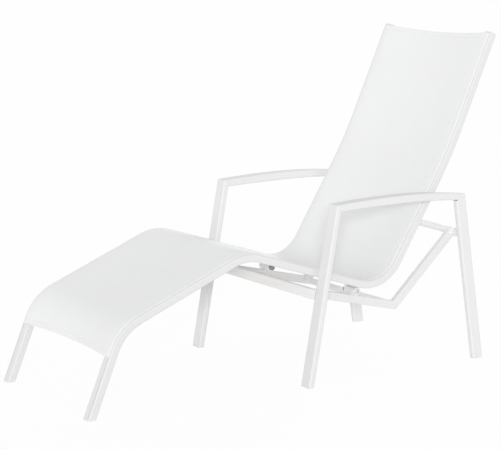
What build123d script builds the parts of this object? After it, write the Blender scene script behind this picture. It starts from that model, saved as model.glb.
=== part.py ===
import os
from math import atan2, cos, degrees, hypot, radians, sin, sqrt

from build123d import *

# Sun lounger: two arm frames carry an S-curved sling frame that tilts back about a low pivot.
# Millimetres and degrees. X points to the sitter's left, Y to the back, Z up from the floor.

# Overall
overall_width = 680.0  # over the two arm frames
arm_gap = 16.5  # seat rail to front leg
front_foot_ahead = 25.3  # front face of the front feet, ahead of the middle of the whole length
foot_spacing = 673.0  # front face of a front foot to front face of a rear foot
right_angle = 90.0

# Arm frames
front_leg_width = 46.0
front_leg_depth = 20.0
front_leg_lean = 10.5  # top set back
rear_leg_width = 20.0
rear_leg_depth = 39.0
rear_leg_lean = 9.2  # foot set back
rear_leg_inset = 8.0
arm_height = 572.0  # top of the arch
arm_front_drop = 9.0
arm_rear_drop = 17.0
arm_depth = 26.0
arm_end_depth = 23.0
arm_taper_length = 325.0
arm_stations = 8
tube_wall = 2.0
tube_corner_radius = 5.0

# Seat rails, along the line of their top faces
seat_corner_reach = 336.0  # behind the front face of the front feet
seat_corner_height = 274.5
thigh_length = 546.2
thigh_angle = 17.64
leg_rest_length = 478.6
leg_rest_angle = 21.77
foot_leg_angle = 67.51
back_length = 480.0
back_angle = 57.98
upper_back_length = 421.1
upper_back_angle = 65.4
foot_bend_radius = 170.0
knee_bend_radius = 150.0
seat_bend_radius = 118.0
back_bend_radius = 1450.0
rail_width = 35.0
rail_depth = 24.0
rail_corner_radius = 4.0
groove_inset = 9.5  # outer face of the rail to the middle of the keder groove
groove_radius = 4.0
groove_lip = 2.5

# Sling
sling_thickness = 1.5
sling_sag = 10.0
sling_clearance = 0.3
keder_clearance = 0.4
hem_height = 178.0  # front hem above the floor at the rails
hem_curve = 9.0
top_hem_drop = 2.0  # top hem below the ends of the rails

# Seat stretchers
stretcher_radius = 11.0
stretcher_wall = 1.5
stretcher_bow = 12.0
stretcher_set = 13.0  # middle of the tube below the top face of the rails
foot_stretcher_run = 120.0  # up the leg rest from its lower corner
knee_stretcher_run = 395.0  # up the leg rest from its lower corner
back_stretcher_run = 205.0  # up the back from the seat corner
top_stretcher_run = 34.0  # down from the upper end of the rails

# Frame under the seat
under_rail_set = 36.0  # outer face of the seat rail to the middle of the under rail
under_rail_width = 20.0
under_rail_depth = 27.0
under_rail_angle = 13.4
under_rail_run = 177.0  # pivot to bend
under_rail_corner_radius = 3.0
crossbar_height = 32.0
rear_tube_height = 417.0
rear_tube_radius = 11.0
rear_tube_bow = 40.0
sleeve_radius = 14.0
sleeve_length = 46.0
sleeve_clearance = 0.14  # least gap to the bowed tube
sleeve_edge = 1.5
under_bar_radius = 11.0

# Pivots
pivot_ahead = 90.5  # ahead of the seat corner, along the thigh
pivot_clearance = 1.3
barrel_radius = 12.5
barrel_bore_radius = 8.0
barrel_length = 40.0
barrel_foot_length = 18.0
bush_flange_radius = 13.5
outer_flange = 4.0
inner_flange = 2.0
press_clearance = 0.03
bolt_radius = 4.0
bolt_clearance = 0.05
bolt_head_radius = 7.0
bolt_head_height = 4.5
bolt_socket_radius = 2.9
bolt_socket_depth = 2.5
bracket_radius = 13.0
bracket_thickness = 6.0
bracket_rise = 16.2  # pivot to the underside of the bracket's upper leg
side_clearance = 0.2
washer_radius = 10.0
washer_thickness = 1.6
nut_radius = 7.5
nut_height = 7.0
cover_radius = 9.5
cover_wall = 1.6

# Plastic ends
foot_plug_height = 6.0
foot_plug_insert = 24.0
foot_plug_wall = 2.0
cap_height = 2.5
end_insert = 18.0
insert_clearance = 0.25
cap_edge = 1.0

# Reach of cuts past what they cut
overrun = 40.0


def step(point, slope, length):
    """Point at a length along a slope, in the side view of Y and Z."""
    return (point[0] + length * cos(radians(slope)), point[1] + length * sin(radians(slope)))


def square_to(point, slope, height):
    """Point at a height square to a slope, above it where the height is positive."""
    return (point[0] - height * sin(radians(slope)), point[1] + height * cos(radians(slope)))


def crossing(first, first_angle, second, second_angle):
    """Where two sloping lines of the side view cross."""
    first_way = (cos(radians(first_angle)), sin(radians(first_angle)))
    second_way = (cos(radians(second_angle)), sin(radians(second_angle)))
    gap = (second[0] - first[0], second[1] - first[1])
    turn = first_way[0] * second_way[1] - first_way[1] * second_way[0]
    return step(first, first_angle, (gap[0] * second_way[1] - gap[1] * second_way[0]) / turn)


def section_plane(x, point, slope):
    """Plane square to a slope of the side view, X along its width."""
    way = step((0, 0), slope, 1)
    return Plane(origin=(x, *point), x_dir=(1, 0, 0), z_dir=(0, *way))


def cut_plane(first, second):
    """Plane that stands on two points of the side view and runs along X."""
    slope = degrees(atan2(second[1] - first[1], second[0] - first[0]))
    return section_plane(0, first, slope + right_angle)


def tube_section(plane, width, depth, radius, wall):
    """Section of a rounded rectangular tube."""
    with BuildSketch(plane) as section:
        RectangleRounded(width, depth, radius)
        RectangleRounded(width - 2 * wall, depth - 2 * wall, radius - wall, mode=Mode.SUBTRACT)
    return section.sketch


def bar_section(plane, width, depth, radius):
    """Section of a rounded rectangular bar."""
    with BuildSketch(plane) as section:
        RectangleRounded(width, depth, radius)
    return section.sketch


def ring_section(plane, radius, bore):
    """Section of a round tube."""
    with BuildSketch(plane) as section:
        Circle(radius)
        Circle(bore, mode=Mode.SUBTRACT)
    return section.sketch


def disc_section(plane, radius):
    """Section of a round bar."""
    with BuildSketch(plane) as section:
        Circle(radius)
    return section.sketch


# Places of the arm frames in the side view
half_width = overall_width / 2
front_leg_x = half_width - front_leg_width / 2
rear_leg_x = half_width - rear_leg_inset - rear_leg_width / 2
front_leg_angle = right_angle - front_leg_lean
rear_leg_angle = right_angle + rear_leg_lean
arm_front_height = arm_height - arm_front_drop
arm_rear_height = arm_height - arm_rear_drop
front_leg_face = (-front_foot_ahead, 0)
rear_leg_face = (foot_spacing - front_foot_ahead, 0)
front_leg_middle = square_to(front_leg_face, front_leg_angle, -front_leg_depth / 2)
front_leg_back = square_to(front_leg_face, front_leg_angle, -front_leg_depth)
rear_leg_middle = square_to(rear_leg_face, rear_leg_angle, -rear_leg_depth / 2)
rear_leg_back = square_to(rear_leg_face, rear_leg_angle, -rear_leg_depth)
arm_front_top = crossing(front_leg_face, front_leg_angle, (0, arm_front_height), 0)
arm_front_under = crossing(front_leg_back, front_leg_angle, (0, arm_front_height - arm_end_depth), 0)
arm_rear_top = crossing(rear_leg_back, rear_leg_angle, (0, arm_rear_height), 0)
arm_rear_under = crossing(rear_leg_face, rear_leg_angle, (0, arm_rear_height - arm_end_depth), 0)
arm_middle_y = (arm_front_top[0] + arm_rear_top[0]) / 2
arm_taper_y = arm_rear_under[0] - arm_taper_length
front_mitre = cut_plane(arm_front_top, arm_front_under)
rear_mitre = cut_plane(arm_rear_under, arm_rear_top)

# Places of the seat frame in the side view
seat_half_width = half_width - front_leg_width - arm_gap
rail_x = seat_half_width - rail_width / 2
rail_inner_x = seat_half_width - rail_width
groove_x = seat_half_width - groove_inset
seat_corner = (seat_corner_reach - front_foot_ahead, seat_corner_height)
knee_corner = step(seat_corner, -thigh_angle, -thigh_length)
foot_corner = step(knee_corner, leg_rest_angle, -leg_rest_length)
toe_end = crossing(foot_corner, foot_leg_angle, (0, -overrun), 0)
back_corner = step(seat_corner, back_angle, back_length)
rail_end = step(back_corner, upper_back_angle, upper_back_length)
seat_corners = (toe_end, foot_corner, knee_corner, seat_corner, back_corner, rail_end)
seat_radii = (foot_bend_radius, knee_bend_radius, seat_bend_radius, back_bend_radius)

# Places of the pivots and of the frame under the seat
under_rail_x = seat_half_width - under_rail_set
pivot_foot = step(seat_corner, -thigh_angle, -pivot_ahead)
pivot_drop = rail_depth + pivot_clearance + bush_flange_radius
pivot = square_to(pivot_foot, -thigh_angle, -pivot_drop)
under_rail_start = square_to(pivot, -under_rail_angle, -(barrel_radius + under_rail_depth / 2))
under_bend = step(under_rail_start, -under_rail_angle, under_rail_run)
crossbar = crossing(front_leg_middle, front_leg_angle, under_rail_start, -under_rail_angle)
crossbar_back = square_to(crossbar, front_leg_angle, -front_leg_depth / 2)
rear_tube_end = crossing(rear_leg_middle, rear_leg_angle, (0, rear_tube_height), 0)
rear_leg_inner_x = rear_leg_x - rear_leg_width / 2
bow_radius = (rear_leg_inner_x**2 + rear_tube_bow**2) / (2 * rear_tube_bow)
bow_middle_y = rear_tube_end[0] + rear_tube_bow - bow_radius
rear_tube_rail = (bow_middle_y + sqrt(bow_radius**2 - under_rail_x**2), rear_tube_height)


def seat_line(x):
    """Line of the rails' top faces, at a distance from the middle of the seat."""
    with BuildLine(Plane.YZ.offset(x)) as line:
        FilletPolyline(*seat_corners, radius=seat_radii)
    return line.line


def rear_tube_line():
    """Middle line of the rear tube, bowed back between the rear legs."""
    end_x = rear_leg_inner_x + rear_leg_width / 2
    end_y = bow_middle_y + sqrt(bow_radius**2 - end_x**2)
    with BuildLine(Plane.XY.offset(rear_tube_height)) as line:
        ThreePointArc((-end_x, end_y), (0, bow_middle_y + bow_radius), (end_x, end_y))
    return line.line


def arm_section(y, inset):
    """Section of an armrest across its length, or of its cavity where there is an inset."""
    front_y, rear_y = arm_front_top[0], arm_rear_top[0]
    end_height = arm_front_height if y < arm_middle_y else arm_rear_height
    arch_share = (2 * (y - arm_middle_y) / (rear_y - front_y)) ** 2
    top = arm_height - (arm_height - end_height) * arch_share
    depth = arm_depth - (arm_depth - arm_end_depth) * arch_share
    taper_share = min(max((y - arm_taper_y) / arm_taper_length, 0), 1) ** 2
    outer_x = half_width - rear_leg_inset * taper_share
    inner_x = rear_leg_inner_x - (rear_leg_inner_x - half_width + front_leg_width) * (1 - taper_share)
    middle = ((outer_x + inner_x) / 2, y, top - depth / 2)
    with BuildSketch(Plane(origin=middle, x_dir=(1, 0, 0), z_dir=(0, 1, 0))) as outline:
        RectangleRounded(outer_x - inner_x - 2 * inset, depth - 2 * inset, tube_corner_radius - inset)
    return outline.sketch


def arm_sections(inset):
    """Sections from before the front mitre to past the rear one."""
    start_y = arm_front_top[0] - arm_end_depth
    run = arm_rear_top[0] + arm_end_depth - start_y
    return [arm_section(start_y + run * count / arm_stations, inset) for count in range(arm_stations + 1)]


# Legs of the arm frames
front_leg_plane = section_plane(front_leg_x, front_leg_middle, front_leg_angle)
rear_leg_plane = section_plane(rear_leg_x, rear_leg_middle, rear_leg_angle)
floor_cut = Plane.XY.offset(foot_plug_height)

with BuildPart() as left_front_leg:
    front_tube = tube_section(
        front_leg_plane.offset(-overrun), front_leg_width, front_leg_depth, tube_corner_radius, tube_wall
    )
    extrude(to_extrude=front_tube, amount=arm_height + 2 * overrun)
    split(bisect_by=floor_cut, keep=Keep.TOP)
    split(bisect_by=front_mitre, keep=Keep.BOTTOM)
left_front_leg.part.label = "left_front_leg"

with BuildPart() as left_rear_leg:
    rear_tube = tube_section(
        rear_leg_plane.offset(-overrun), rear_leg_width, rear_leg_depth, tube_corner_radius, tube_wall
    )
    extrude(to_extrude=rear_tube, amount=arm_height + 2 * overrun)
    split(bisect_by=floor_cut, keep=Keep.TOP)
    split(bisect_by=rear_mitre, keep=Keep.BOTTOM)
left_rear_leg.part.label = "left_rear_leg"

# Armrests, arched and narrowing to the back
with BuildPart() as left_armrest:
    loft(sections=arm_sections(0))
    loft(sections=arm_sections(tube_wall), mode=Mode.SUBTRACT)
    split(bisect_by=front_mitre, keep=Keep.TOP)
    split(bisect_by=rear_mitre, keep=Keep.TOP)
left_armrest.part.label = "left_armrest"

# Plugs in the feet of the legs, each with a hollow insert up the leg
insert_inset = 2 * (tube_wall + insert_clearance)
insert_corner_radius = tube_corner_radius - tube_wall

with BuildPart() as left_front_foot:
    front_bar = bar_section(
        front_leg_plane.offset(-overrun), front_leg_width, front_leg_depth, tube_corner_radius
    )
    extrude(to_extrude=front_bar, amount=2 * overrun)
    split(bisect_by=floor_cut, keep=Keep.BOTTOM)
    front_insert = tube_section(
        front_leg_plane,
        front_leg_width - insert_inset,
        front_leg_depth - insert_inset,
        insert_corner_radius,
        foot_plug_wall,
    )
    extrude(to_extrude=front_insert, amount=foot_plug_insert)
    split(bisect_by=Plane.XY, keep=Keep.TOP)
left_front_foot.part.label = "left_front_foot"

with BuildPart() as left_rear_foot:
    rear_bar = bar_section(
        rear_leg_plane.offset(-overrun), rear_leg_width, rear_leg_depth, tube_corner_radius
    )
    extrude(to_extrude=rear_bar, amount=2 * overrun)
    split(bisect_by=floor_cut, keep=Keep.BOTTOM)
    rear_insert = tube_section(
        rear_leg_plane,
        rear_leg_width - insert_inset,
        rear_leg_depth - insert_inset,
        insert_corner_radius,
        foot_plug_wall,
    )
    extrude(to_extrude=rear_insert, amount=foot_plug_insert)
    split(bisect_by=Plane.XY, keep=Keep.TOP)
left_rear_foot.part.label = "left_rear_foot"

# Frame under the seat
with BuildPart() as front_crossbar:
    crossbar_half = half_width - front_leg_width
    crossbar_plane = Plane(
        origin=(-crossbar_half, *crossbar), x_dir=(0, *step((0, 0), front_leg_angle, 1)), z_dir=(1, 0, 0)
    )
    crossbar_tube = tube_section(
        crossbar_plane, crossbar_height, front_leg_depth, tube_corner_radius, tube_wall
    )
    extrude(to_extrude=crossbar_tube, amount=2 * crossbar_half)
front_crossbar.part.label = "front_crossbar"

with BuildPart() as rear_cross_tube:
    tube_line = rear_tube_line()
    tube_start = Plane(origin=tube_line @ 0, z_dir=tube_line % 0)
    sweep(sections=ring_section(tube_start, rear_tube_radius, rear_tube_radius - tube_wall), path=tube_line)
    split(bisect_by=Plane.YZ.offset(rear_leg_inner_x), keep=Keep.BOTTOM)
    split(bisect_by=Plane.YZ.offset(-rear_leg_inner_x), keep=Keep.TOP)
rear_cross_tube.part.label = "rear_cross_tube"

sleeve_plane = Plane(
    origin=(under_rail_x, *rear_tube_rail),
    z_dir=(rear_tube_rail[0] - bow_middle_y, -under_rail_x, 0),
)

with BuildPart() as left_rail_sleeve:
    bow_in_sleeve = (sleeve_length / 2) ** 2 / (2 * bow_radius)
    sleeve_bore = rear_tube_radius + bow_in_sleeve + sleeve_clearance
    extrude(to_extrude=disc_section(sleeve_plane, sleeve_radius), amount=sleeve_length / 2, both=True)
    chamfer(left_rail_sleeve.edges().filter_by(GeomType.CIRCLE), length=sleeve_edge)
    extrude(
        to_extrude=disc_section(sleeve_plane, sleeve_bore),
        amount=sleeve_length,
        both=True,
        mode=Mode.SUBTRACT,
    )
left_rail_sleeve.part.label = "left_rail_sleeve"

with BuildPart() as left_under_rail:
    with BuildLine(Plane.YZ.offset(under_rail_x)) as rail_line:
        Polyline(crossbar, under_bend, rear_tube_rail)
    rail_start = section_plane(under_rail_x, crossbar, -under_rail_angle)
    rail_tube = tube_section(
        rail_start, under_rail_width, under_rail_depth, under_rail_corner_radius, tube_wall
    )
    sweep(sections=rail_tube, path=rail_line.line, transition=Transition.RIGHT)
    split(bisect_by=cut_plane(crossbar_back, step(crossbar_back, front_leg_angle, 1)), keep=Keep.BOTTOM)
    extrude(
        to_extrude=disc_section(sleeve_plane, sleeve_radius),
        amount=sleeve_length,
        both=True,
        mode=Mode.SUBTRACT,
    )
left_under_rail.part.label = "left_under_rail"

with BuildPart() as under_crossbar:
    under_bar_half = under_rail_x - under_rail_width / 2
    under_bar_start = Plane(origin=(-under_bar_half, *under_bend), z_dir=(1, 0, 0))
    extrude(
        to_extrude=ring_section(under_bar_start, under_bar_radius, under_bar_radius - tube_wall),
        amount=2 * under_bar_half,
    )
under_crossbar.part.label = "under_crossbar"

# Pivots
barrel_inner_x = under_rail_x - barrel_length / 2
barrel_outer_x = under_rail_x + barrel_length / 2
bush_end_x = barrel_outer_x + outer_flange
bracket_x = barrel_inner_x - inner_flange - side_clearance
nut_x = bracket_x - bracket_thickness - washer_thickness


def pivot_plane(x):
    """Plane across the pivot, its X along the thigh."""
    return Plane(origin=(x, *pivot), x_dir=(0, *step((0, 0), -thigh_angle, 1)), z_dir=(1, 0, 0))


with BuildPart() as left_pivot_barrel:
    extrude(to_extrude=disc_section(pivot_plane(barrel_inner_x), barrel_radius), amount=barrel_length)
    foot_plane = Plane(
        origin=(under_rail_x, *square_to(pivot, -under_rail_angle, -barrel_radius)),
        x_dir=(1, 0, 0),
        z_dir=(0, *square_to((0, 0), -under_rail_angle, 1)),
    )
    with BuildSketch(foot_plane) as barrel_foot:
        Rectangle(under_rail_width, barrel_foot_length)
    extrude(amount=barrel_radius / 2)
    extrude(
        to_extrude=disc_section(pivot_plane(barrel_inner_x - overrun), barrel_bore_radius),
        amount=barrel_length + 2 * overrun,
        mode=Mode.SUBTRACT,
    )
left_pivot_barrel.part.label = "left_pivot_barrel"

with BuildPart() as left_outer_bush:
    extrude(to_extrude=disc_section(pivot_plane(barrel_outer_x), bush_flange_radius), amount=outer_flange)
    fillet(left_outer_bush.edges().group_by(Axis.X)[-1], radius=cap_edge)
    extrude(
        to_extrude=disc_section(pivot_plane(barrel_outer_x), barrel_bore_radius - press_clearance),
        amount=-(barrel_length / 2 - side_clearance),
    )
    extrude(
        to_extrude=disc_section(pivot_plane(bush_end_x + overrun), bolt_radius + bolt_clearance),
        amount=-(barrel_length + 2 * overrun),
        mode=Mode.SUBTRACT,
    )
left_outer_bush.part.label = "left_outer_bush"

with BuildPart() as left_inner_bush:
    extrude(to_extrude=disc_section(pivot_plane(barrel_inner_x), barrel_radius), amount=-inner_flange)
    extrude(
        to_extrude=disc_section(pivot_plane(barrel_inner_x), barrel_bore_radius - press_clearance),
        amount=barrel_length / 2 - side_clearance,
    )
    extrude(
        to_extrude=disc_section(pivot_plane(barrel_inner_x - overrun), bolt_radius + bolt_clearance),
        amount=barrel_length + 2 * overrun,
        mode=Mode.SUBTRACT,
    )
left_inner_bush.part.label = "left_inner_bush"

with BuildPart() as left_pivot_bracket:
    bracket_inner_plane = pivot_plane(bracket_x - bracket_thickness)
    with BuildSketch(bracket_inner_plane) as lug:
        Circle(bracket_radius)
        Rectangle(2 * bracket_radius, bracket_rise, align=(Align.CENTER, Align.MIN))
    extrude(amount=bracket_thickness)
    with BuildSketch(bracket_inner_plane) as upper_leg:
        with Locations((0, bracket_rise)):
            Rectangle(2 * bracket_radius, bracket_thickness, align=(Align.CENTER, Align.MIN))
    extrude(amount=rail_inner_x - bracket_x + bracket_thickness)
    fillet(left_pivot_bracket.edges().filter_by(Axis.X).group_by(Axis.Z)[-1], radius=cap_edge)
    extrude(
        to_extrude=disc_section(pivot_plane(bracket_x + overrun), bolt_radius + bolt_clearance),
        amount=-2 * overrun,
        mode=Mode.SUBTRACT,
    )
left_pivot_bracket.part.label = "left_pivot_bracket"

with BuildPart() as left_pivot_bolt:
    bolt_seat_x = bush_end_x + side_clearance
    extrude(to_extrude=disc_section(pivot_plane(bolt_seat_x), bolt_head_radius), amount=bolt_head_height)
    fillet(left_pivot_bolt.edges().group_by(Axis.X)[-1], radius=bolt_head_height / 2)
    bolt_run = bolt_seat_x - nut_x + nut_height
    extrude(to_extrude=disc_section(pivot_plane(bolt_seat_x), bolt_radius), amount=-bolt_run)
    with BuildSketch(pivot_plane(bolt_seat_x + bolt_head_height)) as socket:
        RegularPolygon(bolt_socket_radius, side_count=6)
    extrude(amount=-bolt_socket_depth, mode=Mode.SUBTRACT)
left_pivot_bolt.part.label = "left_pivot_bolt"

with BuildPart() as left_pivot_washer:
    washer_plane = pivot_plane(bracket_x - bracket_thickness)
    extrude(
        to_extrude=ring_section(washer_plane, washer_radius, bolt_radius + bolt_clearance),
        amount=-washer_thickness,
    )
left_pivot_washer.part.label = "left_pivot_washer"

with BuildPart() as left_pivot_nut:
    with BuildSketch(pivot_plane(nut_x)) as hexagon:
        RegularPolygon(nut_radius, side_count=6)
        Circle(bolt_radius + bolt_clearance, mode=Mode.SUBTRACT)
    extrude(amount=-nut_height)
left_pivot_nut.part.label = "left_pivot_nut"

with BuildPart() as left_nut_cover:
    extrude(to_extrude=disc_section(pivot_plane(nut_x), cover_radius), amount=-(nut_height + cover_wall))
    fillet(left_nut_cover.edges().group_by(Axis.X)[0], radius=cover_wall)
    extrude(
        to_extrude=disc_section(pivot_plane(nut_x), nut_radius + press_clearance),
        amount=-(nut_height + press_clearance),
        mode=Mode.SUBTRACT,
    )
left_nut_cover.part.label = "left_nut_cover"

# Seat rails: an extrusion with a keder groove along its top face
rail_start_plane = section_plane(rail_x, toe_end, foot_leg_angle)
groove_offset = groove_x - rail_x
groove_depth = groove_lip + groove_radius


def rail_outline(plane):
    """Outline of the rail's section, its top face on the seat line."""
    with BuildSketch(plane) as outline:
        with Locations((0, rail_depth / 2)):
            RectangleRounded(rail_width, rail_depth, rail_corner_radius)
    return outline.sketch


def rail_insert(plane):
    """Section of an insert in the rail's cavity, clear of the keder groove."""
    insert_top = groove_depth + groove_radius + tube_wall + insert_clearance
    insert_depth = rail_depth - tube_wall - insert_clearance - insert_top
    with BuildSketch(plane) as outline:
        with Locations((0, insert_top + insert_depth / 2)):
            RectangleRounded(rail_width - insert_inset, insert_depth, rail_corner_radius - tube_wall)
    return outline.sketch


with BuildPart() as left_seat_rail:
    with BuildSketch(rail_start_plane) as rail_section:
        with Locations((0, rail_depth / 2)):
            RectangleRounded(rail_width, rail_depth, rail_corner_radius)
            RectangleRounded(
                rail_width - 2 * tube_wall,
                rail_depth - 2 * tube_wall,
                rail_corner_radius - tube_wall,
                mode=Mode.SUBTRACT,
            )
        with Locations((groove_offset, groove_depth)):
            Circle(groove_radius + tube_wall)
            Circle(groove_radius, mode=Mode.SUBTRACT)
        with Locations((groove_offset, 0)):
            mouth_width = sling_thickness + 2 * keder_clearance
            Rectangle(mouth_width, 2 * groove_depth, mode=Mode.SUBTRACT)
    sweep(path=seat_line(rail_x))
    split(bisect_by=floor_cut, keep=Keep.TOP)
left_seat_rail.part.label = "left_seat_rail"

with BuildPart() as left_toe_plug:
    extrude(to_extrude=rail_outline(rail_start_plane), amount=2 * overrun)
    split(bisect_by=floor_cut, keep=Keep.BOTTOM)
    extrude(to_extrude=rail_insert(rail_start_plane.offset(overrun)), amount=foot_plug_height + end_insert)
    split(bisect_by=Plane.XY, keep=Keep.TOP)
left_toe_plug.part.label = "left_toe_plug"

rail_end_plane = section_plane(rail_x, rail_end, upper_back_angle)

with BuildPart() as left_top_cap:
    extrude(to_extrude=rail_outline(rail_end_plane), amount=cap_height)
    fillet(left_top_cap.faces().sort_by(Axis.Z)[-1].edges(), radius=cap_edge)
    extrude(to_extrude=rail_insert(rail_end_plane), amount=-end_insert)
left_top_cap.part.label = "left_top_cap"


# Stretchers between the seat rails, bowed away from the sling
def stretcher(point, slope):
    """Bowed tube between the rails at a point of their top line."""
    plane = Plane(
        origin=(0, *square_to(point, slope, -stretcher_set)),
        x_dir=(1, 0, 0),
        z_dir=(0, *step((0, 0), slope, 1)),
    )
    with BuildPart() as tube:
        with BuildLine(plane) as bow:
            ThreePointArc((-seat_half_width, 0), (0, stretcher_bow), (seat_half_width, 0))
        start = Plane(origin=bow.line @ 0, z_dir=bow.line % 0)
        wall_section = ring_section(start, stretcher_radius, stretcher_radius - stretcher_wall)
        sweep(sections=wall_section, path=bow.line)
        split(bisect_by=Plane.YZ.offset(rail_inner_x), keep=Keep.BOTTOM)
        split(bisect_by=Plane.YZ.offset(-rail_inner_x), keep=Keep.TOP)
    return tube


foot_stretcher = stretcher(step(foot_corner, leg_rest_angle, foot_stretcher_run), leg_rest_angle)
foot_stretcher.part.label = "foot_stretcher"
knee_stretcher = stretcher(step(foot_corner, leg_rest_angle, knee_stretcher_run), leg_rest_angle)
knee_stretcher.part.label = "knee_stretcher"
back_stretcher = stretcher(step(seat_corner, back_angle, back_stretcher_run), back_angle)
back_stretcher.part.label = "back_stretcher"
top_stretcher = stretcher(step(rail_end, upper_back_angle, -top_stretcher_run), upper_back_angle)
top_stretcher.part.label = "top_stretcher"

# Sling, hung by its edges in the grooves, and the keder cords that hold it
hem_point = crossing(foot_corner, foot_leg_angle, (0, hem_height), 0)
hem_plane = Plane(
    origin=(0, *hem_point), x_dir=(1, 0, 0), z_dir=(0, *square_to((0, 0), foot_leg_angle, 1))
)
top_hem_point = step(rail_end, upper_back_angle, -top_hem_drop)
top_hem_plane = Plane(
    origin=(0, *top_hem_point), x_dir=(1, 0, 0), z_dir=(0, *square_to((0, 0), upper_back_angle, 1))
)
sling_plane = section_plane(0, toe_end, foot_leg_angle)


def hem_cut(plane, way, reach):
    """Waste past a hem that dips in its middle, towards the end that way points to."""
    edge_x = groove_x + sling_thickness
    with BuildSketch(plane) as waste:
        with BuildLine():
            ThreePointArc((-edge_x, 0), (0, -way * hem_curve), (edge_x, 0))
            Polyline((edge_x, 0), (edge_x + overrun, 0), (edge_x + overrun, way * reach))
            Polyline((edge_x + overrun, way * reach), (-edge_x - overrun, way * reach))
            Polyline((-edge_x - overrun, way * reach), (-edge_x - overrun, 0), (-edge_x, 0))
        make_face()
    return waste.sketch


with BuildPart() as sling:
    with BuildSketch(sling_plane) as sling_section:
        upper = -sling_clearance - sling_thickness
        lower = -sling_clearance
        edge_in = groove_x - sling_thickness / 2
        edge_out = groove_x + sling_thickness / 2
        with BuildLine():
            ThreePointArc((-rail_inner_x, upper), (0, sling_sag + upper), (rail_inner_x, upper))
            Polyline((rail_inner_x, upper), (edge_out, upper), (edge_out, groove_lip), (edge_in, groove_lip))
            Polyline((edge_in, groove_lip), (edge_in, lower), (rail_inner_x, lower))
            ThreePointArc((rail_inner_x, lower), (0, sling_sag + lower), (-rail_inner_x, lower))
            Polyline((-rail_inner_x, lower), (-edge_in, lower), (-edge_in, groove_lip))
            Polyline((-edge_in, groove_lip), (-edge_out, groove_lip), (-edge_out, upper))
            Line((-edge_out, upper), (-rail_inner_x, upper))
        make_face()
    sweep(path=seat_line(0))
    toe_run = hypot(hem_point[0] - toe_end[0], hem_point[1] - toe_end[1]) + overrun
    extrude(to_extrude=hem_cut(hem_plane, -1, toe_run), amount=overrun, both=True, mode=Mode.SUBTRACT)
    extrude(to_extrude=hem_cut(top_hem_plane, 1, 2 * overrun), amount=overrun, both=True, mode=Mode.SUBTRACT)
sling.part.label = "sling"

with BuildPart() as left_keder:
    keder_start = section_plane(groove_x, toe_end, foot_leg_angle)
    with BuildSketch(keder_start) as keder_section:
        with Locations((0, groove_depth)):
            Circle(groove_radius - keder_clearance)
    sweep(path=seat_line(groove_x))
    split(bisect_by=section_plane(0, hem_point, foot_leg_angle), keep=Keep.TOP)
    split(bisect_by=section_plane(0, top_hem_point, upper_back_angle), keep=Keep.BOTTOM)
left_keder.part.label = "left_keder"

# The right side mirrors the left, and every piece is written to its own file
left_pieces = (
    left_front_leg,
    left_armrest,
    left_rear_leg,
    left_front_foot,
    left_rear_foot,
    left_rail_sleeve,
    left_under_rail,
    left_pivot_barrel,
    left_outer_bush,
    left_inner_bush,
    left_pivot_bracket,
    left_pivot_bolt,
    left_pivot_washer,
    left_pivot_nut,
    left_nut_cover,
    left_seat_rail,
    left_toe_plug,
    left_top_cap,
    left_keder,
)
middle_pieces = (
    front_crossbar,
    rear_cross_tube,
    under_crossbar,
    foot_stretcher,
    knee_stretcher,
    back_stretcher,
    top_stretcher,
    sling,
)

os.makedirs("parts", exist_ok=True)
for piece in left_pieces + middle_pieces:
    export_step(piece.part, f"parts/{piece.part.label}.step")
for piece in left_pieces:
    with BuildPart() as twin:
        mirror(piece.part, about=Plane.YZ)
    twin.part.label = piece.part.label.replace("left", "right")
    export_step(twin.part, f"parts/{twin.part.label}.step")
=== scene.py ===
import math

import bmesh
import bpy
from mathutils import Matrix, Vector, noise


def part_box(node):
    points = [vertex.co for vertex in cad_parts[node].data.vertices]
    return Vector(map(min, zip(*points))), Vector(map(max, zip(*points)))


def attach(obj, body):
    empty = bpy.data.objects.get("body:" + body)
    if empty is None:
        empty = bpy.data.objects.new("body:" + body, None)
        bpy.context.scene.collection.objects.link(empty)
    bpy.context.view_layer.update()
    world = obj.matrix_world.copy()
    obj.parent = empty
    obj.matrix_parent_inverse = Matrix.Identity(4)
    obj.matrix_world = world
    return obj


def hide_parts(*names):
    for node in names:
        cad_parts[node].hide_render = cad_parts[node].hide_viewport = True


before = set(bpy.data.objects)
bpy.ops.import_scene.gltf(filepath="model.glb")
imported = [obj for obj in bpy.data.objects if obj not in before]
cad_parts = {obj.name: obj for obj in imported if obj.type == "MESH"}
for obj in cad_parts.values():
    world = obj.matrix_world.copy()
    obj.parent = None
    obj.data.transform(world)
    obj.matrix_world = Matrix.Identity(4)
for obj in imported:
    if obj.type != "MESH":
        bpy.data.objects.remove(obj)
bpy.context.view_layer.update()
print("frame loaded:", len(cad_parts), "nodes")

# Metres. +X is the sitter's left, -Y the foot end, +Z up from the floor.


# Helpers for node trees
def addNode(tree, kind, inputs=None, **settings):
    node = tree.nodes.new(kind)
    for name, value in settings.items():
        setattr(node, name, value)
    for name, value in (inputs or {}).items():
        if isinstance(value, bpy.types.NodeSocket):
            tree.links.new(value, node.inputs[name])
        else:
            node.inputs[name].default_value = value
    return node


def calculate(tree, operation, first, second=0.0):
    return addNode(tree, "ShaderNodeMath", {0: first, 1: second}, operation=operation).outputs[0]


def rescale(tree, value, low, high, newLow=0.0, newHigh=1.0):
    inputs = {"Value": value, "From Min": low, "From Max": high, "To Min": newLow, "To Max": newHigh}
    return addNode(tree, "ShaderNodeMapRange", inputs).outputs[0]


def mixColours(tree, share, first, second):
    # a Mix node's colours go in at 6 and 7 and come out at 2
    return addNode(tree, "ShaderNodeMix", {0: share, 6: first, 7: second}, data_type="RGBA").outputs[2]


def mixShaders(tree, share, first, second):
    return addNode(tree, "ShaderNodeMixShader", {0: share, 1: first, 2: second}).outputs[0]


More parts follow.
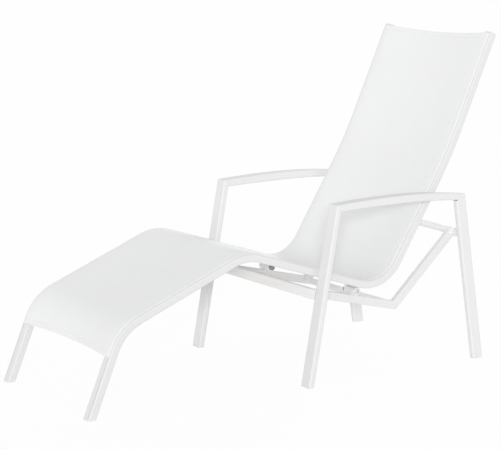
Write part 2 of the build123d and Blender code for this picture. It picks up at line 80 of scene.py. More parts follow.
def newGroup(name, inputs, outputs):
    group = bpy.data.node_groups.new(name, "ShaderNodeTree")
    for socketName, value in inputs.items():
        socket = group.interface.new_socket(socketName, in_out="INPUT", socket_type="NodeSocketFloat")
        socket.default_value = value
    for socketName in outputs:
        group.interface.new_socket(socketName, in_out="OUTPUT", socket_type="NodeSocketFloat")
    return group, group.nodes.new("NodeGroupInput"), group.nodes.new("NodeGroupOutput")


def useGroup(tree, group, **inputs):
    return addNode(tree, "ShaderNodeGroup", inputs, node_tree=group)


# Effects that several finishes share. A detail says how fine a noise is, and a span says which part
# of a value is spread over 0 to 1.
effectSettings = {
    "fineDetail": 2.0,
    "patchDetail": 3.0,
    "patchSpan": (0.3, 0.7),
    "breakDetail": 4.0,
    "breakSpan": (0.45, 0.65),
    "sharpestEdge": 0.6,
    "dustDetail": 5.0,
    "dustSpan": (0.35, 0.75),
    "yarnDip": 0.45,  # height of a yarn where it passes under another, as a share of its crown
    # the part of the weave's height that becomes painted shade between the yarns
    "gapShadeSpan": (0.5, 0.15),
}


def spots(tree, size, detail):
    # noise whose spots are about one size across
    place = addNode(tree, "ShaderNodeTexCoord").outputs["Object"]
    inputs = {"Vector": place, "Scale": calculate(tree, "DIVIDE", 1.0, size), "Detail": detail}
    return addNode(tree, "ShaderNodeTexNoise", inputs).outputs["Fac"]


def buildSurfaceGrain(effect):
    # fine relief of a sprayed or moulded skin, and broad patches of slightly different tone
    group, given, result = newGroup("surfaceGrain", {"size": 0.002, "patch": 0.15}, ("relief", "patches"))
    fine = spots(group, given.outputs["size"], effect["fineDetail"])
    broad = spots(group, given.outputs["patch"], effect["patchDetail"])
    group.links.new(fine, result.inputs["relief"])
    group.links.new(rescale(group, broad, *effect["patchSpan"]), result.inputs["patches"])
    return group


def buildEdgeWear(effect):
    # thin, broken lines of rubbed finish where two faces meet
    group, given, result = newGroup("edgeWear", {"sharpness": 0.53, "break": 0.012}, ("mask",))
    pointiness = addNode(group, "ShaderNodeNewGeometry").outputs["Pointiness"]
    edge = rescale(group, pointiness, given.outputs["sharpness"], effect["sharpestEdge"])
    gaps = rescale(group, spots(group, given.outputs["break"], effect["breakDetail"]), *effect["breakSpan"])
    group.links.new(calculate(group, "MULTIPLY", edge, gaps), result.inputs["mask"])
    return group


def buildFloorDust(effect):
    # dust that gathers low down, thinning out upwards
    group, given, result = newGroup("floorDust", {"reach": 0.09, "grain": 0.01}, ("mask",))
    place = addNode(group, "ShaderNodeTexCoord").outputs["Object"]
    height = addNode(group, "ShaderNodeSeparateXYZ", {"Vector": place}).outputs["Z"]
    low = rescale(group, height, 0.0, given.outputs["reach"], 1.0, 0.0)
    specks = rescale(group, spots(group, given.outputs["grain"], effect["dustDetail"]), *effect["dustSpan"])
    group.links.new(calculate(group, "MULTIPLY", low, specks), result.inputs["mask"])
    return group


def buildPlainWeave(effect):
    # coated yarns over and under each other, laid along the cloth's own length and width
    group, given, result = newGroup("plainWeave", {"pitch": 0.0012}, ("relief", "gaps"))
    cloth = addNode(group, "ShaderNodeUVMap", uv_map="clothPlace").outputs[0]
    split = addNode(group, "ShaderNodeSeparateXYZ", {"Vector": cloth})
    across = calculate(group, "DIVIDE", split.outputs["X"], given.outputs["pitch"])
    along = calculate(group, "DIVIDE", split.outputs["Y"], given.outputs["pitch"])

    def yarn(own, other):
        crown = calculate(group, "SINE", calculate(group, "MULTIPLY", own, math.pi))
        phase = calculate(group, "ADD", other, calculate(group, "FLOOR", own))
        wave = calculate(group, "SINE", calculate(group, "MULTIPLY", phase, math.pi))
        return calculate(group, "ABSOLUTE", crown), wave

    warpCrown, warpWave = yarn(across, along)
    weftCrown, weftWave = yarn(along, across)
    warpHeight = rescale(group, warpWave, -1.0, 1.0, effect["yarnDip"], 1.0)
    weftHeight = rescale(group, weftWave, 1.0, -1.0, effect["yarnDip"], 1.0)
    warp = calculate(group, "MULTIPLY", warpCrown, warpHeight)
    weft = calculate(group, "MULTIPLY", weftCrown, weftHeight)
    top = calculate(group, "MAXIMUM", warp, weft)
    group.links.new(top, result.inputs["relief"])
    # the low places between the yarns, as a mask for painted shade
    group.links.new(rescale(group, top, *effect["gapShadeSpan"]), result.inputs["gaps"])
    return group


grainGroup = buildSurfaceGrain(effectSettings)
wearGroup = buildEdgeWear(effectSettings)
dustGroup = buildFloorDust(effectSettings)
weaveGroup = buildPlainWeave(effectSettings)


def newMaterial(name, roughness, **constants):
    material = bpy.data.materials.new(name)
    material.use_nodes = True
    tree = material.node_tree
    shader = tree.nodes["Principled BSDF"]
    shader.inputs["Roughness"].default_value = roughness
    for socketName, value in constants.items():
        shader.inputs[socketName.replace("_", " ")].default_value = value
    return material, tree, shader


def shade(level, warmth=0.0):
    # a grey, warmer where warmth is positive: its green falls half as far as its blue
    return (level, level * (1 - warmth / 2), level * (1 - warmth), 1.0)


def addRelief(tree, shader, height, depth):
    relief = addNode(tree, "ShaderNodeBump", {"Height": height, "Distance": depth})
    tree.links.new(relief.outputs[0], shader.inputs["Normal"])


def paintedMaterial(name, paint):
    # sprayed or moulded skin: broad tone patches, edge wear, floor dust and a fine relief
    level, warmth, roughness = paint["level"], paint["warmth"], paint["roughness"]
    material, tree, shader = newMaterial(name, roughness, Specular_IOR_Level=paint["specular"])
    grain = useGroup(tree, grainGroup, size=paint["grainSize"], patch=paint["patchSize"])
    wear = useGroup(tree, wearGroup)
    dust = useGroup(tree, dustGroup)
    patches = calculate(tree, "MULTIPLY", grain.outputs["patches"], paint["patchShare"])
    patchShade = shade(level * paint["patchLevelShare"], warmth + paint["patchWarmth"])
    colour = mixColours(tree, patches, shade(level, warmth), patchShade)
    worn = calculate(tree, "MULTIPLY", wear.outputs["mask"], paint["wear"])
    colour = mixColours(tree, worn, colour, shade(paint["wornLevel"], paint["wornWarmth"]))
    dusty = calculate(tree, "MULTIPLY", dust.outputs["mask"], paint["dust"])
    colour = mixColours(tree, dusty, colour, shade(paint["dustLevel"], paint["dustWarmth"]))
    tree.links.new(colour, shader.inputs["Base Color"])
    smoothest, roughest = roughness - paint["smoother"], roughness + paint["rougher"]
    rough = rescale(tree, grain.outputs["patches"], 0.0, 1.0, smoothest, roughest)
    rough = calculate(tree, "ADD", rough, calculate(tree, "MULTIPLY", dusty, paint["dustRoughness"]))
    tree.links.new(rough, shader.inputs["Roughness"])
    addRelief(tree, shader, grain.outputs["relief"], paint["grainDepth"])
    return material


# What all sprayed and moulded skins have alike. Levels are greys, and sizes are in metres.
skinSettings = {
    "patchSize": 0.16,
    "patchShare": 0.5,
    "patchLevelShare": 0.975,
    "patchWarmth": 0.01,
    "smoother": 0.03,  # how far the roughness falls and rises from patch to patch
    "rougher": 0.05,
    "wornWarmth": 0.02,
    "dustLevel": 0.42,
    "dustWarmth": 0.16,
    "dustRoughness": 0.5,
}
sprayedSkin = {
    **skinSettings, "warmth": -0.008, "roughness": 0.62, "specular": 0.15,
    "grainSize": 0.0022, "grainDepth": 0.00002, "wear": 0.06, "dust": 0.02,
}
mouldedSkin = {**skinSettings, "roughness": 0.5, "specular": 0.4, "dust": 0.1}
powderCoat = paintedMaterial("powderCoatWhite", {**sprayedSkin, "level": 0.79, "wornLevel": 0.71})
railCoat = paintedMaterial("powderCoatRail", {**sprayedSkin, "level": 0.77, "wornLevel": 0.68})
# the white powder coat again, painted lighter and warmer: painted light for the parts under the seat,
# standing in for the bounce light that reaches them too little
paintedLightUnderCoat = paintedMaterial("powderCoatUnderPaintedLight", {
    **sprayedSkin, "level": 0.92, "warmth": 0.02, "wornLevel": 0.84,
})
whitePlastic = paintedMaterial("mouldedPlasticWhite", {
    **mouldedSkin, "level": 0.79, "warmth": -0.01,
    "grainSize": 0.0009, "grainDepth": 0.00006, "wear": 0.25, "wornLevel": 0.66,
})
kederPlastic = paintedMaterial("kederPlasticWhite", {
    **mouldedSkin, "level": 0.77, "warmth": 0.006,
    "grainSize": 0.0012, "grainDepth": 0.00004, "wear": 0.15, "wornLevel": 0.66,
})
darkPlastic = paintedMaterial("mouldedPlasticDark", {
    **mouldedSkin, "level": 0.32, "warmth": 0.12, "roughness": 0.4, "specular": 0.5, "dust": 0.2,
    "grainSize": 0.0008, "grainDepth": 0.00008, "wear": 0.4, "wornLevel": 0.26,
})

steelSettings = {
    "level": 0.78,
    "warmth": 0.02,
    "patchLevel": 0.68,
    "patchWarmth": 0.03,
    "patchSize": 0.01,
    "wear": 0.5,
    "wornLevel": 0.75,
    "roughness": 0.3,
    "roughnessSpan": (0.22, 0.4),
    "grainSize": 0.0006,
    "grainDepth": 0.00003,
}


def steelMaterial(metal):
    material, tree, shader = newMaterial("brushedSteel", metal["roughness"], Metallic=1.0)
    grain = useGroup(tree, grainGroup, size=metal["grainSize"], patch=metal["patchSize"])
    wear = useGroup(tree, wearGroup)
    bright, dull = shade(metal["level"], metal["warmth"]), shade(metal["patchLevel"], metal["patchWarmth"])
    worn = calculate(tree, "MULTIPLY", wear.outputs["mask"], metal["wear"])
    colour = mixColours(tree, grain.outputs["patches"], bright, dull)
    colour = mixColours(tree, worn, colour, shade(metal["wornLevel"]))
    tree.links.new(colour, shader.inputs["Base Color"])
    rough = rescale(tree, grain.outputs["patches"], 0.0, 1.0, *metal["roughnessSpan"])
    tree.links.new(rough, shader.inputs["Roughness"])
    addRelief(tree, shader, grain.outputs["relief"], metal["grainDepth"])
    return material


steel = steelMaterial(steelSettings)

textileSettings = {
    "level": 0.87,
    "warmth": -0.012,
    "patchSize": 0.25,
    "patchShare": 0.6,
    "patchLevelShare": 0.98,
    "patchWarmth": -0.006,
    # painted shade in the gaps between the yarns
    "gapShadeLevel": 0.72,
    "gapShadeWarmth": 0.01,
    "gapShadeShare": 0.5,
    "pitch": 0.00125,  # from one yarn to the next
    "relief": 0.00018,
    "roughness": 0.62,
    "roughnessSpan": (0.75, 0.55),  # between the yarns and on them
    "specular": 0.35,
    "sheen": 0.12,
    "sheenRoughness": 0.5,
}


def textileMaterial(name, cloth):
    material, tree, shader = newMaterial(
        name, cloth["roughness"], Specular_IOR_Level=cloth["specular"],
        Sheen_Weight=cloth["sheen"], Sheen_Roughness=cloth["sheenRoughness"],
    )
    weave = useGroup(tree, weaveGroup, pitch=cloth["pitch"])
    grain = useGroup(tree, grainGroup, patch=cloth["patchSize"])
    patches = calculate(tree, "MULTIPLY", grain.outputs["patches"], cloth["patchShare"])
    patchShade = shade(cloth["level"] * cloth["patchLevelShare"], cloth["patchWarmth"])
    colour = mixColours(tree, patches, shade(cloth["level"], cloth["warmth"]), patchShade)
    # painted shade: the gaps between the yarns are coloured darker
    gaps = calculate(tree, "MULTIPLY", weave.outputs["gaps"], cloth["gapShadeShare"])
    colour = mixColours(tree, gaps, colour, shade(cloth["gapShadeLevel"], cloth["gapShadeWarmth"]))
    tree.links.new(colour, shader.inputs["Base Color"])
    rough = rescale(tree, weave.outputs["relief"], 0.0, 1.0, *cloth["roughnessSpan"])
    tree.links.new(rough, shader.inputs["Roughness"])
    addRelief(tree, shader, weave.outputs["relief"], cloth["relief"])
    return material


textile = textileMaterial("slingTextile", textileSettings)
hemTextile = textileMaterial("hemTextile", {**textileSettings, "level": 0.86})
thread = textileMaterial("sewingThread", {
    **textileSettings, "pitch": 0.0005, "relief": 0.0001, "level": 0.66,
})
print("materials made")


# Pieces that the scene adds, each on the body it moves with
def makePiece(name, build, material, body):
    mesh = bpy.data.meshes.new(name)
    build.normal_update()
    build.to_mesh(mesh)
    build.free()
    mesh.polygons.foreach_set("use_smooth", [True] * len(mesh.polygons))
    mesh.materials.append(material)
    piece = bpy.data.objects.new(name, mesh)
    bpy.context.scene.collection.objects.link(piece)
    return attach(piece, body)


def joinRings(build, first, second):
    # a band of faces between two closed rings of as many points
    faces = []
    for count in range(len(first)):
        after = (count + 1) % len(first)
        faces.append(build.faces.new((first[count], first[after], second[after], second[count])))
    return faces


# Side line of the rails' top faces, as Y and Z
seatLine = {
    "seatCorner": (0.3107, 0.2745),
    "thighLength": 0.5462,
    "thighSlope": 17.64,
    "legRestLength": 0.4786,
    "legRestSlope": 21.77,
    "footLegSlope": 67.51,
    "backLength": 0.48,
    "backSlope": 57.98,
    "upperBackLength": 0.4211,
    "upperBackSlope": 65.4,
    "bendRadii": (0.17, 0.15, 0.118, 1.45),  # foot, knee, seat and back
}


def alongSlope(point, slope, length):
    angle = math.radians(slope)
    return Vector(point) + Vector((math.cos(angle), math.sin(angle))) * length


def seatLineParts(line):
    # straights and bends from the toe to the upper end, each with its start, direction, length and turn
    knee = alongSlope(line["seatCorner"], 180 - line["thighSlope"], line["thighLength"])
    foot = alongSlope(knee, 180 + line["legRestSlope"], line["legRestLength"])
    toe = alongSlope(foot, line["footLegSlope"], -foot.y / math.sin(math.radians(line["footLegSlope"])))
    back = alongSlope(line["seatCorner"], line["backSlope"], line["backLength"])
    end = alongSlope(back, line["upperBackSlope"], line["upperBackLength"])
    corners = [toe, foot, knee, Vector(line["seatCorner"]), back, end]
    parts, start = [], toe
    for before, corner, after, radius in zip(corners, corners[1:], corners[2:], line["bendRadii"]):
        wayIn, wayOut = (corner - before).normalized(), (after - corner).normalized()
        turn = math.atan2(wayIn.cross(wayOut), wayIn.dot(wayOut))
        setBack = radius * math.tan(abs(turn) / 2)
        bendStart = corner - wayIn * setBack
        parts.append({"start": start, "way": wayIn, "length": (bendStart - start).length, "turn": 0.0})
        parts.append({"start": bendStart, "way": wayIn, "length": radius * abs(turn), "turn": turn})
        start = corner + wayOut * setBack
    parts.append({"start": start, "way": wayOut, "length": (end - start).length, "turn": 0.0})
    return parts


railParts = seatLineParts(seatLine)
railLength = sum(part["length"] for part in railParts)


def placeOnRail(length):
    # point and direction at a length from the toe, as Y and Z
    for part in railParts:
        if length <= part["length"] or part is railParts[-1]:
            break
        length -= part["length"]
    start, way, turn = part["start"], part["way"], part["turn"]
    if not turn:
        return start + way * length, way
    radius = part["length"] / abs(turn)
    angle = turn * length / part["length"]
    inward = Vector((-way.y, way.x)) * math.copysign(1, turn)
    cosine, sine = math.cos(angle), math.sin(angle)
    point = start + way * radius * abs(sine) + inward * radius * (1 - cosine)
    return point, Vector((way.x * cosine - way.y * sine, way.x * sine + way.y * cosine))


def overRail(x, length, height):
    # point above the rails' top faces, on the sitter's side
    point, way = placeOnRail(length)
    return Vector((x, point.x - way.y * height, point.y + way.x * height))


slingSettings = {
    "thickness": 0.0012,
    "clearance": 0.0004,  # from the rails' top faces to the cloth
    "sag": 0.010,
    "grooveLip": 0.0025,  # how far the edges turn down into the grooves
    "foldRadius": 0.0016,
    "pocketSeam": 0.0105,  # from the inner face of a rail
    "pocketRise": 0.0005,
    "pocketStartShare": 0.5,  # of the way from the inner face of a rail to the turn into its groove
    "hemHeight": 0.178,
    "hemCurve": 0.009,
    "topHemDrop": 0.002,
    "hemWidth": 0.018,
    "hemEndGap": 0.0012,  # from the ends of a hem to the rails
    "noseGap": 0.00008,
    "noseDepth": 0.0012,  # how far in the hem's nose is solid
    "overlapShare": 0.4,  # where the hem's inner faces lie in the cloth, of its thickness
    "hemPlaceStep": 0.0003,
    "frontSeams": (0.0065, 0.0145),  # from the edge of the hem
    "topSeams": (0.0145,),
    "seamPress": 0.0010,
    "seamWidth": 0.0012,
    "freePower": 4,  # how late the free middle of the cloth turns into what the rails hold
    "pressSpread": 4,  # how soon the seams' press is full, away from the rails
    "ripple": 0.0004,
    "ripplesAcross": 9,
    "ripplesAlong": 6,
    "rippleSlice": 0.5,
    "columns": 26,
    "railColumns": 8,
    "foldColumns": 6,
    "rows": 250,
    "hemZone": 0.024,  # where rows are closer together
    "hemRows": 30,
    "hemColumns": 60,
    "noseSides": 8,
}
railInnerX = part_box("left_seat_rail")[0].x
kederLow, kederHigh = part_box("left_keder")
grooveX = (kederLow.x + kederHigh.x) / 2


def slingProfile(cloth):
    # half of the sling's cross-section: x, drop below the rails' top faces, and length along the cloth
    lift = cloth["clearance"] + cloth["thickness"] / 2
    fold = cloth["foldRadius"]
    foldX = grooveX - fold
    points = []
    for count in range(cloth["columns"] + 1):
        share = count / cloth["columns"]
        points.append((railInnerX * share, cloth["sag"] * (1 - share**2) - lift))
    for count in range(1, cloth["railColumns"] + 1):
        share = count / cloth["railColumns"]
        inPocket = share > cloth["pocketStartShare"]
        rise = cloth["pocketRise"] * math.sin(math.pi * share) ** 2 if inPocket else 0.0
        points.append((railInnerX + (foldX - railInnerX) * share, -lift - rise))
    for count in range(1, cloth["foldColumns"] + 1):
        angle = math.pi / 2 * count / cloth["foldColumns"]
        points.append((foldX + fold * math.sin(angle), fold * (1 - math.cos(angle)) - lift))
    points.append((grooveX, cloth["grooveLip"]))
    profile, across = [(*points[0], 0.0)], 0.0
    for before, point in zip(points, points[1:]):
        across += math.dist(point, before)
        profile.append((*point, across))
    return profile


def hemLengths(cloth, x):
    # where the front and the top hem are at x, along the rails
    dip = cloth["hemCurve"] * max(0.0, 1 - (x / grooveX) ** 2)
    front = cloth["hemHeight"] / math.sin(math.radians(seatLine["footLegSlope"]))
    return front + dip, railLength - cloth["topHemDrop"] - dip


def seamPress(cloth, distance, seams):
    # how far the seams press the cloth in, at a distance from its edge
    depth, width = cloth["seamPress"], cloth["seamWidth"]
    return sum(depth * math.exp(-(((distance - seam) / width) ** 2)) for seam in seams)


def buildSling(cloth):
    half = slingProfile(cloth)
    columns = [(-x, drop, -across) for x, drop, across in reversed(half[1:])] + half
    # each row as a length from the front hem, a share of the middle, and a length into the top hem's zone
    zone = cloth["hemZone"]
    rows = [(zone * count / cloth["hemRows"], 0.0, 0.0) for count in range(cloth["hemRows"])]
    rows += [(zone, count / cloth["rows"], 0.0) for count in range(cloth["rows"])]
    rows += [(zone, 1.0, zone * count / cloth["hemRows"]) for count in range(cloth["hemRows"] + 1)]
    build = bmesh.new()
    clothPlace = build.loops.layers.uv.new("clothPlace")
    grid, places = [], {}
    for nearFront, share, nearTop in rows:
        line = []
        for x, drop, across in columns:
            front, top = hemLengths(cloth, x)
            length = front + nearFront + share * (top - front - 2 * zone) + nearTop
            press = seamPress(cloth, length - front, cloth["frontSeams"])
            press += seamPress(cloth, top - length, cloth["topSeams"])
            free = max(0.0, 1 - (abs(x) / railInnerX) ** cloth["freePower"])
            ripplePlace = (x * cloth["ripplesAcross"], length * cloth["ripplesAlong"], cloth["rippleSlice"])
            wave = cloth["ripple"] * free * noise.noise(Vector(ripplePlace))
            height = -drop - press * min(1.0, free * cloth["pressSpread"]) + wave
            vertex = build.verts.new(overRail(x, length, height))
            places[vertex] = (across, length)
            line.append(vertex)
        grid.append(line)
    for lower, upper in zip(grid, grid[1:]):
        for count in range(len(lower) - 1):
            face = build.faces.new((lower[count], lower[count + 1], upper[count + 1], upper[count]))
            for loop in face.loops:
                loop[clothPlace].uv = places[loop.vert]
    piece = makePiece("slingCloth", build, textile, "sling_seat")
    thickness = piece.modifiers.new("thickness", "SOLIDIFY")
    thickness.thickness = cloth["thickness"]
    thickness.offset = 0.0
    return piece, half[-1][2]


def profileHeight(cloth, x):
    # height of the cloth's middle over the rails' top faces
    share = min(1.0, abs(x) / railInnerX)
    return cloth["clearance"] + cloth["thickness"] / 2 - cloth["sag"] * (1 - share**2)


def hemOutline(cloth):
    # section of a hem, as lengths inwards from the cloth's edge and heights over the cloth's middle
    thick, width, depth = cloth["thickness"], cloth["hemWidth"], cloth["noseDepth"]
    nose = thick + cloth["noseGap"]
    inner = cloth["overlapShare"] * thick
    outline = []
    for count in range(cloth["noseSides"] + 1):
        angle = math.pi * count / cloth["noseSides"]
        outline.append((-nose * math.sin(angle), -thick / 2 + nose * math.cos(angle)))
    outline += [(width - thick / 2, -1.5 * thick), (width, -thick), (width, -inner)]
    return outline + [(depth, -inner), (depth, inner)]


def buildHem(name, cloth, atFront):
    # the folded hem: a nose round the cloth's edge and a strip under it, between the rails
    build = bmesh.new()
    clothPlace = build.loops.layers.uv.new("clothPlace")
    outline = hemOutline(cloth)
    reach = railInnerX - cloth["hemEndGap"]
    rings, places = [], {}
    for column in range(cloth["hemColumns"] + 1):
        x = reach * (2 * column / cloth["hemColumns"] - 1)
        front, top = hemLengths(cloth, x)
        ring = []
        for count, (inward, rise) in enumerate(outline):
            length = front + inward if atFront else top - inward
            vertex = build.verts.new(overRail(x, length, profileHeight(cloth, x) + rise))
            places[vertex] = (x, inward + count * cloth["hemPlaceStep"])
            ring.append(vertex)
        rings.append(ring)
    for first, second in zip(rings, rings[1:]):
        for face in joinRings(build, first, second) if atFront else joinRings(build, second, first):
            for loop in face.loops:
                loop[clothPlace].uv = places[loop.vert]
    build.faces.new(rings[0][::-1] if atFront else rings[0])
    build.faces.new(rings[-1] if atFront else rings[-1][::-1])
    bmesh.ops.recalc_face_normals(build, faces=build.faces)
    return makePiece(name, build, hemTextile, "sling_seat")


stitchSettings = {
    "pitch": 0.0036,
    "length": 0.0028,
    "radius": 0.00042,
    "sides": 6,
    # places along the half length, each with its share of the radius
    "shape": ((-1.0, 0.25), (-0.7, 0.85), (0.0, 1.0), (0.7, 0.85), (1.0, 0.25)),
    "sinkShare": 1.4,  # how deep the ends go into the cloth, of the radius
    "endGap": 0.002,  # from the last stitches of a hem to the rails
    "probe": 0.001,  # between the two points that give a stitch its direction
}


def buildStitches(name, places):
    # short raised threads, each along the seam: places are points with their directions and normals
    build = bmesh.new()
    clothPlace = build.loops.layers.uv.new("clothPlace")
    half, radius, sides = stitchSettings["length"] / 2, stitchSettings["radius"], stitchSettings["sides"]
    for point, way, normal in places:
        side = way.cross(normal).normalized()
        rings = []
        for shift, share in stitchSettings["shape"]:
            sink = radius * stitchSettings["sinkShare"] * shift**4
            centre = point + way * half * shift - normal * sink
            ring = []
            for count in range(sides):
                angle = math.tau * count / sides
                outward = side * math.cos(angle) + normal * math.sin(angle)
                ring.append(build.verts.new(centre + outward * radius * share))
            rings.append(ring)
        for first, second in zip(rings, rings[1:]):
            joinRings(build, first, second)
        build.faces.new(rings[0][::-1])
        build.faces.new(rings[-1])
    for face in build.faces:
        for loop in face.loops:
            loop[clothPlace].uv = (loop.vert.co.x, loop.vert.co.y + loop.vert.co.z)
    return makePiece(name, build, thread, "sling_seat")


def hemStitches(cloth, name, seam, atFront):
    reach = railInnerX - stitchSettings["endGap"]
    count = int(2 * reach / stitchSettings["pitch"])
    places = []
    for index in range(count + 1):
        x = -reach + 2 * reach * index / count
        points = []
        for shifted in (x, x + stitchSettings["probe"]):
            front, top = hemLengths(cloth, shifted)
            length = front + seam if atFront else top - seam
            height = profileHeight(cloth, shifted) + cloth["thickness"] / 2 - cloth["seamPress"]
            points.append(overRail(shifted, length, height))
        way = (points[1] - points[0]).normalized()
        direction = placeOnRail(length)[1]
        normal = Vector((0, -direction.y, direction.x))
        places.append((points[0], way, normal))
    return buildStitches(name, places)


def railStitches(cloth, name, x):
    # the seam of the pocket round the keder cord, on top of each rail
    front, top = hemLengths(cloth, x)
    count = int((top - front) / stitchSettings["pitch"])
    places = []
    for index in range(1, count):
        length = front + (top - front) * index / count
        direction = placeOnRail(length)[1]
        way = Vector((0, direction.x, direction.y))
        normal = Vector((0, -direction.y, direction.x))
        places.append((overRail(x, length, profileHeight(cloth, x) + cloth["thickness"] / 2), way, normal))
    return buildStitches(name, places)


slingCloth, halfAcross = buildSling(slingSettings)
frontHem = buildHem("frontHem", slingSettings, True)
topHem = buildHem("topHem", slingSettings, False)
for number, seam in enumerate(slingSettings["frontSeams"]):
    hemStitches(slingSettings, f"frontHemStitches{number + 1}", seam, True)
for number, seam in enumerate(slingSettings["topSeams"]):
    hemStitches(slingSettings, f"topHemStitches{number + 1}", seam, False)
pocketSeamX = railInnerX + slingSettings["pocketSeam"]
railStitches(slingSettings, "leftPocketStitches", pocketSeamX)
railStitches(slingSettings, "rightPocketStitches", -pocketSeamX)
# the dip of each hem takes two thirds of its width times its depth
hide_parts("sling")

weldSettings = {
    "bead": 0.0017,
    "ripple": 0.16,
    "pitch": 0.0017,
    "step": 0.0005,
    "sides": 8,
    "leastArcSteps": 4,
    "standOffShare": 0.2,  # how far a bead's middle stands off the tube and the joint, of its radius
}
crossbarSettings = {"halfDepth": 0.010, "halfHeight": 0.016, "corner": 0.005, "lean": 10.5}
roundTubeRadius = 0.011


def weldOutline(halfDepth, halfHeight, corner):
    # rounded outline of a tube as points with their outward directions
    step = weldSettings["step"]
    arcCount = max(weldSettings["leastArcSteps"], int(corner * math.pi / 2 / step))
    sides = (2 * (halfDepth - corner), 2 * (halfHeight - corner))
    outline = []
    for quarter, (acrossSign, upSign) in enumerate(((1, 1), (-1, 1), (-1, -1), (1, -1))):
        middle = Vector((acrossSign * (halfDepth - corner), upSign * (halfHeight - corner)))
        for count in range(arcCount):
            angle = (quarter + count / arcCount) * math.pi / 2
            outward = Vector((math.cos(angle), math.sin(angle)))
            outline.append((middle + outward * corner, outward))
        angle = (quarter + 1) * math.pi / 2
        outward = Vector((math.cos(angle), math.sin(angle)))
        onward = Vector((-outward.y, outward.x))
        side = sides[quarter % 2]
        sideCount = int(side / step)
        for count in range(sideCount):
            outline.append((middle + outward * corner + onward * side * count / sideCount, outward))
    return outline


def buildWelds(name, body, joints):
    # rippled beads round tube ends: x, middle in Y and Z, half depth, half height, corner, lean
    build = bmesh.new()
    sides, standOff = weldSettings["sides"], weldSettings["standOffShare"]
    for x, middle, halfDepth, halfHeight, corner, lean in joints:
        inward = -math.copysign(1, x)
        turn = math.radians(lean)
        rings, length, last = [], 0.0, None
        for point, outward in weldOutline(halfDepth, halfHeight, corner):
            length += (point - last).length if last else 0.0
            last = point
            ridge = abs(math.sin(math.pi * length / weldSettings["pitch"]))
            bead = weldSettings["bead"] * (1 + weldSettings["ripple"] * ridge)
            ring = []
            for count in range(sides):
                angle = math.tau * count / sides
                flat = point + outward * bead * (standOff + math.cos(angle))
                y = middle.x + flat.x * math.cos(turn) + flat.y * math.sin(turn)
                z = middle.y - flat.x * math.sin(turn) + flat.y * math.cos(turn)
                ring.append(build.verts.new((x + inward * bead * (standOff + math.sin(angle)), y, z)))
            rings.append(ring)
        for first, second in zip(rings, rings[1:] + rings[:1]):
            joinRings(build, first, second)
    bmesh.ops.recalc_face_normals(build, faces=build.faces)
    # the beads take the powder coat that is painted lighter and warmer: painted light
    return makePiece(name, build, paintedLightUnderCoat, body)


def tubeEnds(node, radius, bowedBack=False):
    # both ends of a round cross tube: at its box's low Y, and high Z unless it is bowed straight back
    low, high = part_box(node)
    z = (low.z + high.z) / 2 if bowedBack else high.z - radius
    middle = Vector((low.y + radius, z))
    return [(x, middle, radius, radius, radius, 0.0) for x in (low.x, high.x)]


def crossbarEnds(node, bar):
    # both ends of the rectangular crossbar, which leans with the front legs
    low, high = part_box(node)
    middle = Vector(((low.y + high.y) / 2, (low.z + high.z) / 2))
    section = (bar["halfDepth"], bar["halfHeight"], bar["corner"], bar["lean"])
    return [(x, middle, *section) for x in (low.x, high.x)]


frameJoints = crossbarEnds("front_crossbar", crossbarSettings)
frameJoints += tubeEnds("rear_cross_tube", roundTubeRadius, bowedBack=True)
frameJoints += tubeEnds("under_crossbar", roundTubeRadius)
buildWelds("frameWelds", "arm_frame", frameJoints)
seatJoints = []
for place in ("foot", "knee", "back", "top"):
    seatJoints += tubeEnds(f"{place}_stretcher", roundTubeRadius)
buildWelds("stretcherWelds", "sling_seat", seatJoints)
print("welds made")

# Finishes of the CAD pieces, by the ends of their names. What isn't named here is powder coated.
finishes = {
    "seat_rail": railCoat,
    # the under parts take the powder coat that is painted lighter and warmer: painted light
    "crossbar": paintedLightUnderCoat, "cross_tube": paintedLightUnderCoat, "sleeve": paintedLightUnderCoat,
    "barrel": paintedLightUnderCoat, "bracket": paintedLightUnderCoat, "stretcher": paintedLightUnderCoat,
    "foot": whitePlastic, "toe_plug": whitePlastic, "top_cap": whitePlastic, "bush": whitePlastic,
    "keder": kederPlastic, "bolt": steel, "washer": steel, "pivot_nut": steel, "nut_cover": darkPlastic,
}
for nodeName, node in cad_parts.items():
    finish = powderCoat
    for word, material in finishes.items():
        if nodeName.endswith(word):
            finish = material
    node.data.materials.clear()
    node.data.materials.append(finish)
print("finishes given")

stageSettings = {
    "reach": 60.0,
    "ringShares": (0.02, 0.1, 0.4, 1.0),
    "sides": 48,
    "level": 0.95,
    "warmth": 0.01,
    "patchSize": 2.0,
    "patchLevelShare": 0.985,
    "roughness": 0.9,
    "specular": 0.1,
    "whiteShare": 0.94,  # of what the camera sees; the rest is the lit floor with the object's shadow
}


def whiteForCamera(tree):
    # 1 for the rays that see the background: the camera's, and those mirrored or passed on by a surface
    path = addNode(tree, "ShaderNodeLightPath").outputs
    seen = calculate(tree, "MAXIMUM", path["Is Camera Ray"], path["Is Glossy Ray"])
    return calculate(tree, "MAXIMUM", seen, path["Is Transmission Ray"])


def floorMaterial(stage):
    roughness, specular = stage["roughness"], stage["specular"]
    material, tree, shader = newMaterial("paleFloor", roughness, Specular_IOR_Level=specular)
    grain = useGroup(tree, grainGroup, patch=stage["patchSize"])
    plainShade = shade(stage["level"], stage["warmth"])
    patchShade = shade(stage["level"] * stage["patchLevelShare"], stage["warmth"])
    colour = mixColours(tree, grain.outputs["patches"], plainShade, patchShade)
    tree.links.new(colour, shader.inputs["Base Color"])
    white = addNode(tree, "ShaderNodeEmission", {"Color": (1, 1, 1, 1), "Strength": 1.0})
    share = calculate(tree, "MULTIPLY", whiteForCamera(tree), stage["whiteShare"])
    mixed = mixShaders(tree, share, shader.outputs[0], white.outputs[0])
    tree.links.new(mixed, tree.nodes["Material Output"].inputs["Surface"])
    material.cycles.emission_sampling = "NONE"  # its white is for the camera, not a lamp
    return material


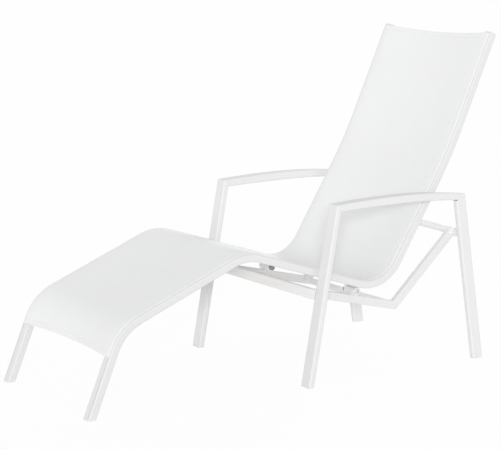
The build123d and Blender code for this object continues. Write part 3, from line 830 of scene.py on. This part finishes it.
def buildFloor(stage):
    # a round floor of rings that widen outwards
    build = bmesh.new()
    angles = [math.tau * count / stage["sides"] for count in range(stage["sides"])]
    rings = []
    for ringShare in stage["ringShares"]:
        radius = stage["reach"] * ringShare
        places = [(radius * math.cos(angle), radius * math.sin(angle), 0) for angle in angles]
        rings.append([build.verts.new(place) for place in places])
    for inner, outer in zip(rings, rings[1:]):
        joinRings(build, outer, inner)
    build.faces.new(rings[0])
    mesh = bpy.data.meshes.new("floor")
    build.normal_update()
    build.to_mesh(mesh)
    build.free()
    mesh.materials.append(floorMaterial(stage))
    floor = bpy.data.objects.new("floor", mesh)
    bpy.context.scene.collection.objects.link(floor)


buildFloor(stageSettings)

lightSettings = {
    "world": 0.73,
    "lamps": {
        # where each lamp stands as seen from the object, the angle it fills in degrees, and its strength
        "keyLamp": {"side": (7.9, -5.8, 2.1), "softness": 9.0, "strength": 1.17},
        "frontLamp": {"side": (3.2, -8.8, 0.35), "softness": 24.5, "strength": 0.24},
        "backLamp": {"side": (-5.5, 8.0, 2.55), "softness": 23.0, "strength": 0.78},
    },
}


def lookAlong(item, way):
    # turns a lamp or the camera to look along a direction
    item.rotation_mode = "QUATERNION"
    item.rotation_quaternion = way.to_track_quat("-Z", "Y")


def lightScene(light):
    world = bpy.data.worlds.new("softStudio")
    bpy.context.scene.world = world
    world.use_nodes = True
    tree = world.node_tree
    soft = tree.nodes["Background"]
    soft.inputs["Color"].default_value = (1.0, 1.0, 1.0, 1.0)
    soft.inputs["Strength"].default_value = light["world"]
    white = addNode(tree, "ShaderNodeBackground", {"Color": (1, 1, 1, 1), "Strength": 1.0})
    mixed = mixShaders(tree, whiteForCamera(tree), soft.outputs[0], white.outputs[0])
    tree.links.new(mixed, tree.nodes["World Output"].inputs["Surface"])
    for name, lamp in light["lamps"].items():
        data = bpy.data.lights.new(name, "SUN")  # even over the whole length of the lounger
        data.angle = math.radians(lamp["softness"])
        data.energy = lamp["strength"]
        item = bpy.data.objects.new(name, data)
        bpy.context.scene.collection.objects.link(item)
        item.location = lamp["side"]
        lookAlong(item, -Vector(lamp["side"]))


lightScene(lightSettings)

cameraSettings = {
    "place": (4.603, -3.1064, 1.428),
    "azimuth": 56.126,
    "elevation": 9.872,
    "lens": 126.79,
    "sensorWidth": 36.0,
    "clipEnd": 200.0,
}


def placeCamera(view):
    data = bpy.data.cameras.new("camera")
    data.lens = view["lens"]
    data.sensor_width = view["sensorWidth"]
    data.clip_end = view["clipEnd"]
    camera = bpy.data.objects.new("camera", data)
    bpy.context.scene.collection.objects.link(camera)
    camera.location = view["place"]
    turn, tip = math.radians(view["azimuth"]), math.radians(view["elevation"])
    way = Vector((-math.sin(turn) * math.cos(tip), math.cos(turn) * math.cos(tip), -math.sin(tip)))
    lookAlong(camera, way)
    bpy.context.scene.camera = camera


placeCamera(cameraSettings)
bpy.context.scene.view_settings.view_transform = "Standard"
print("stage, light and camera set")
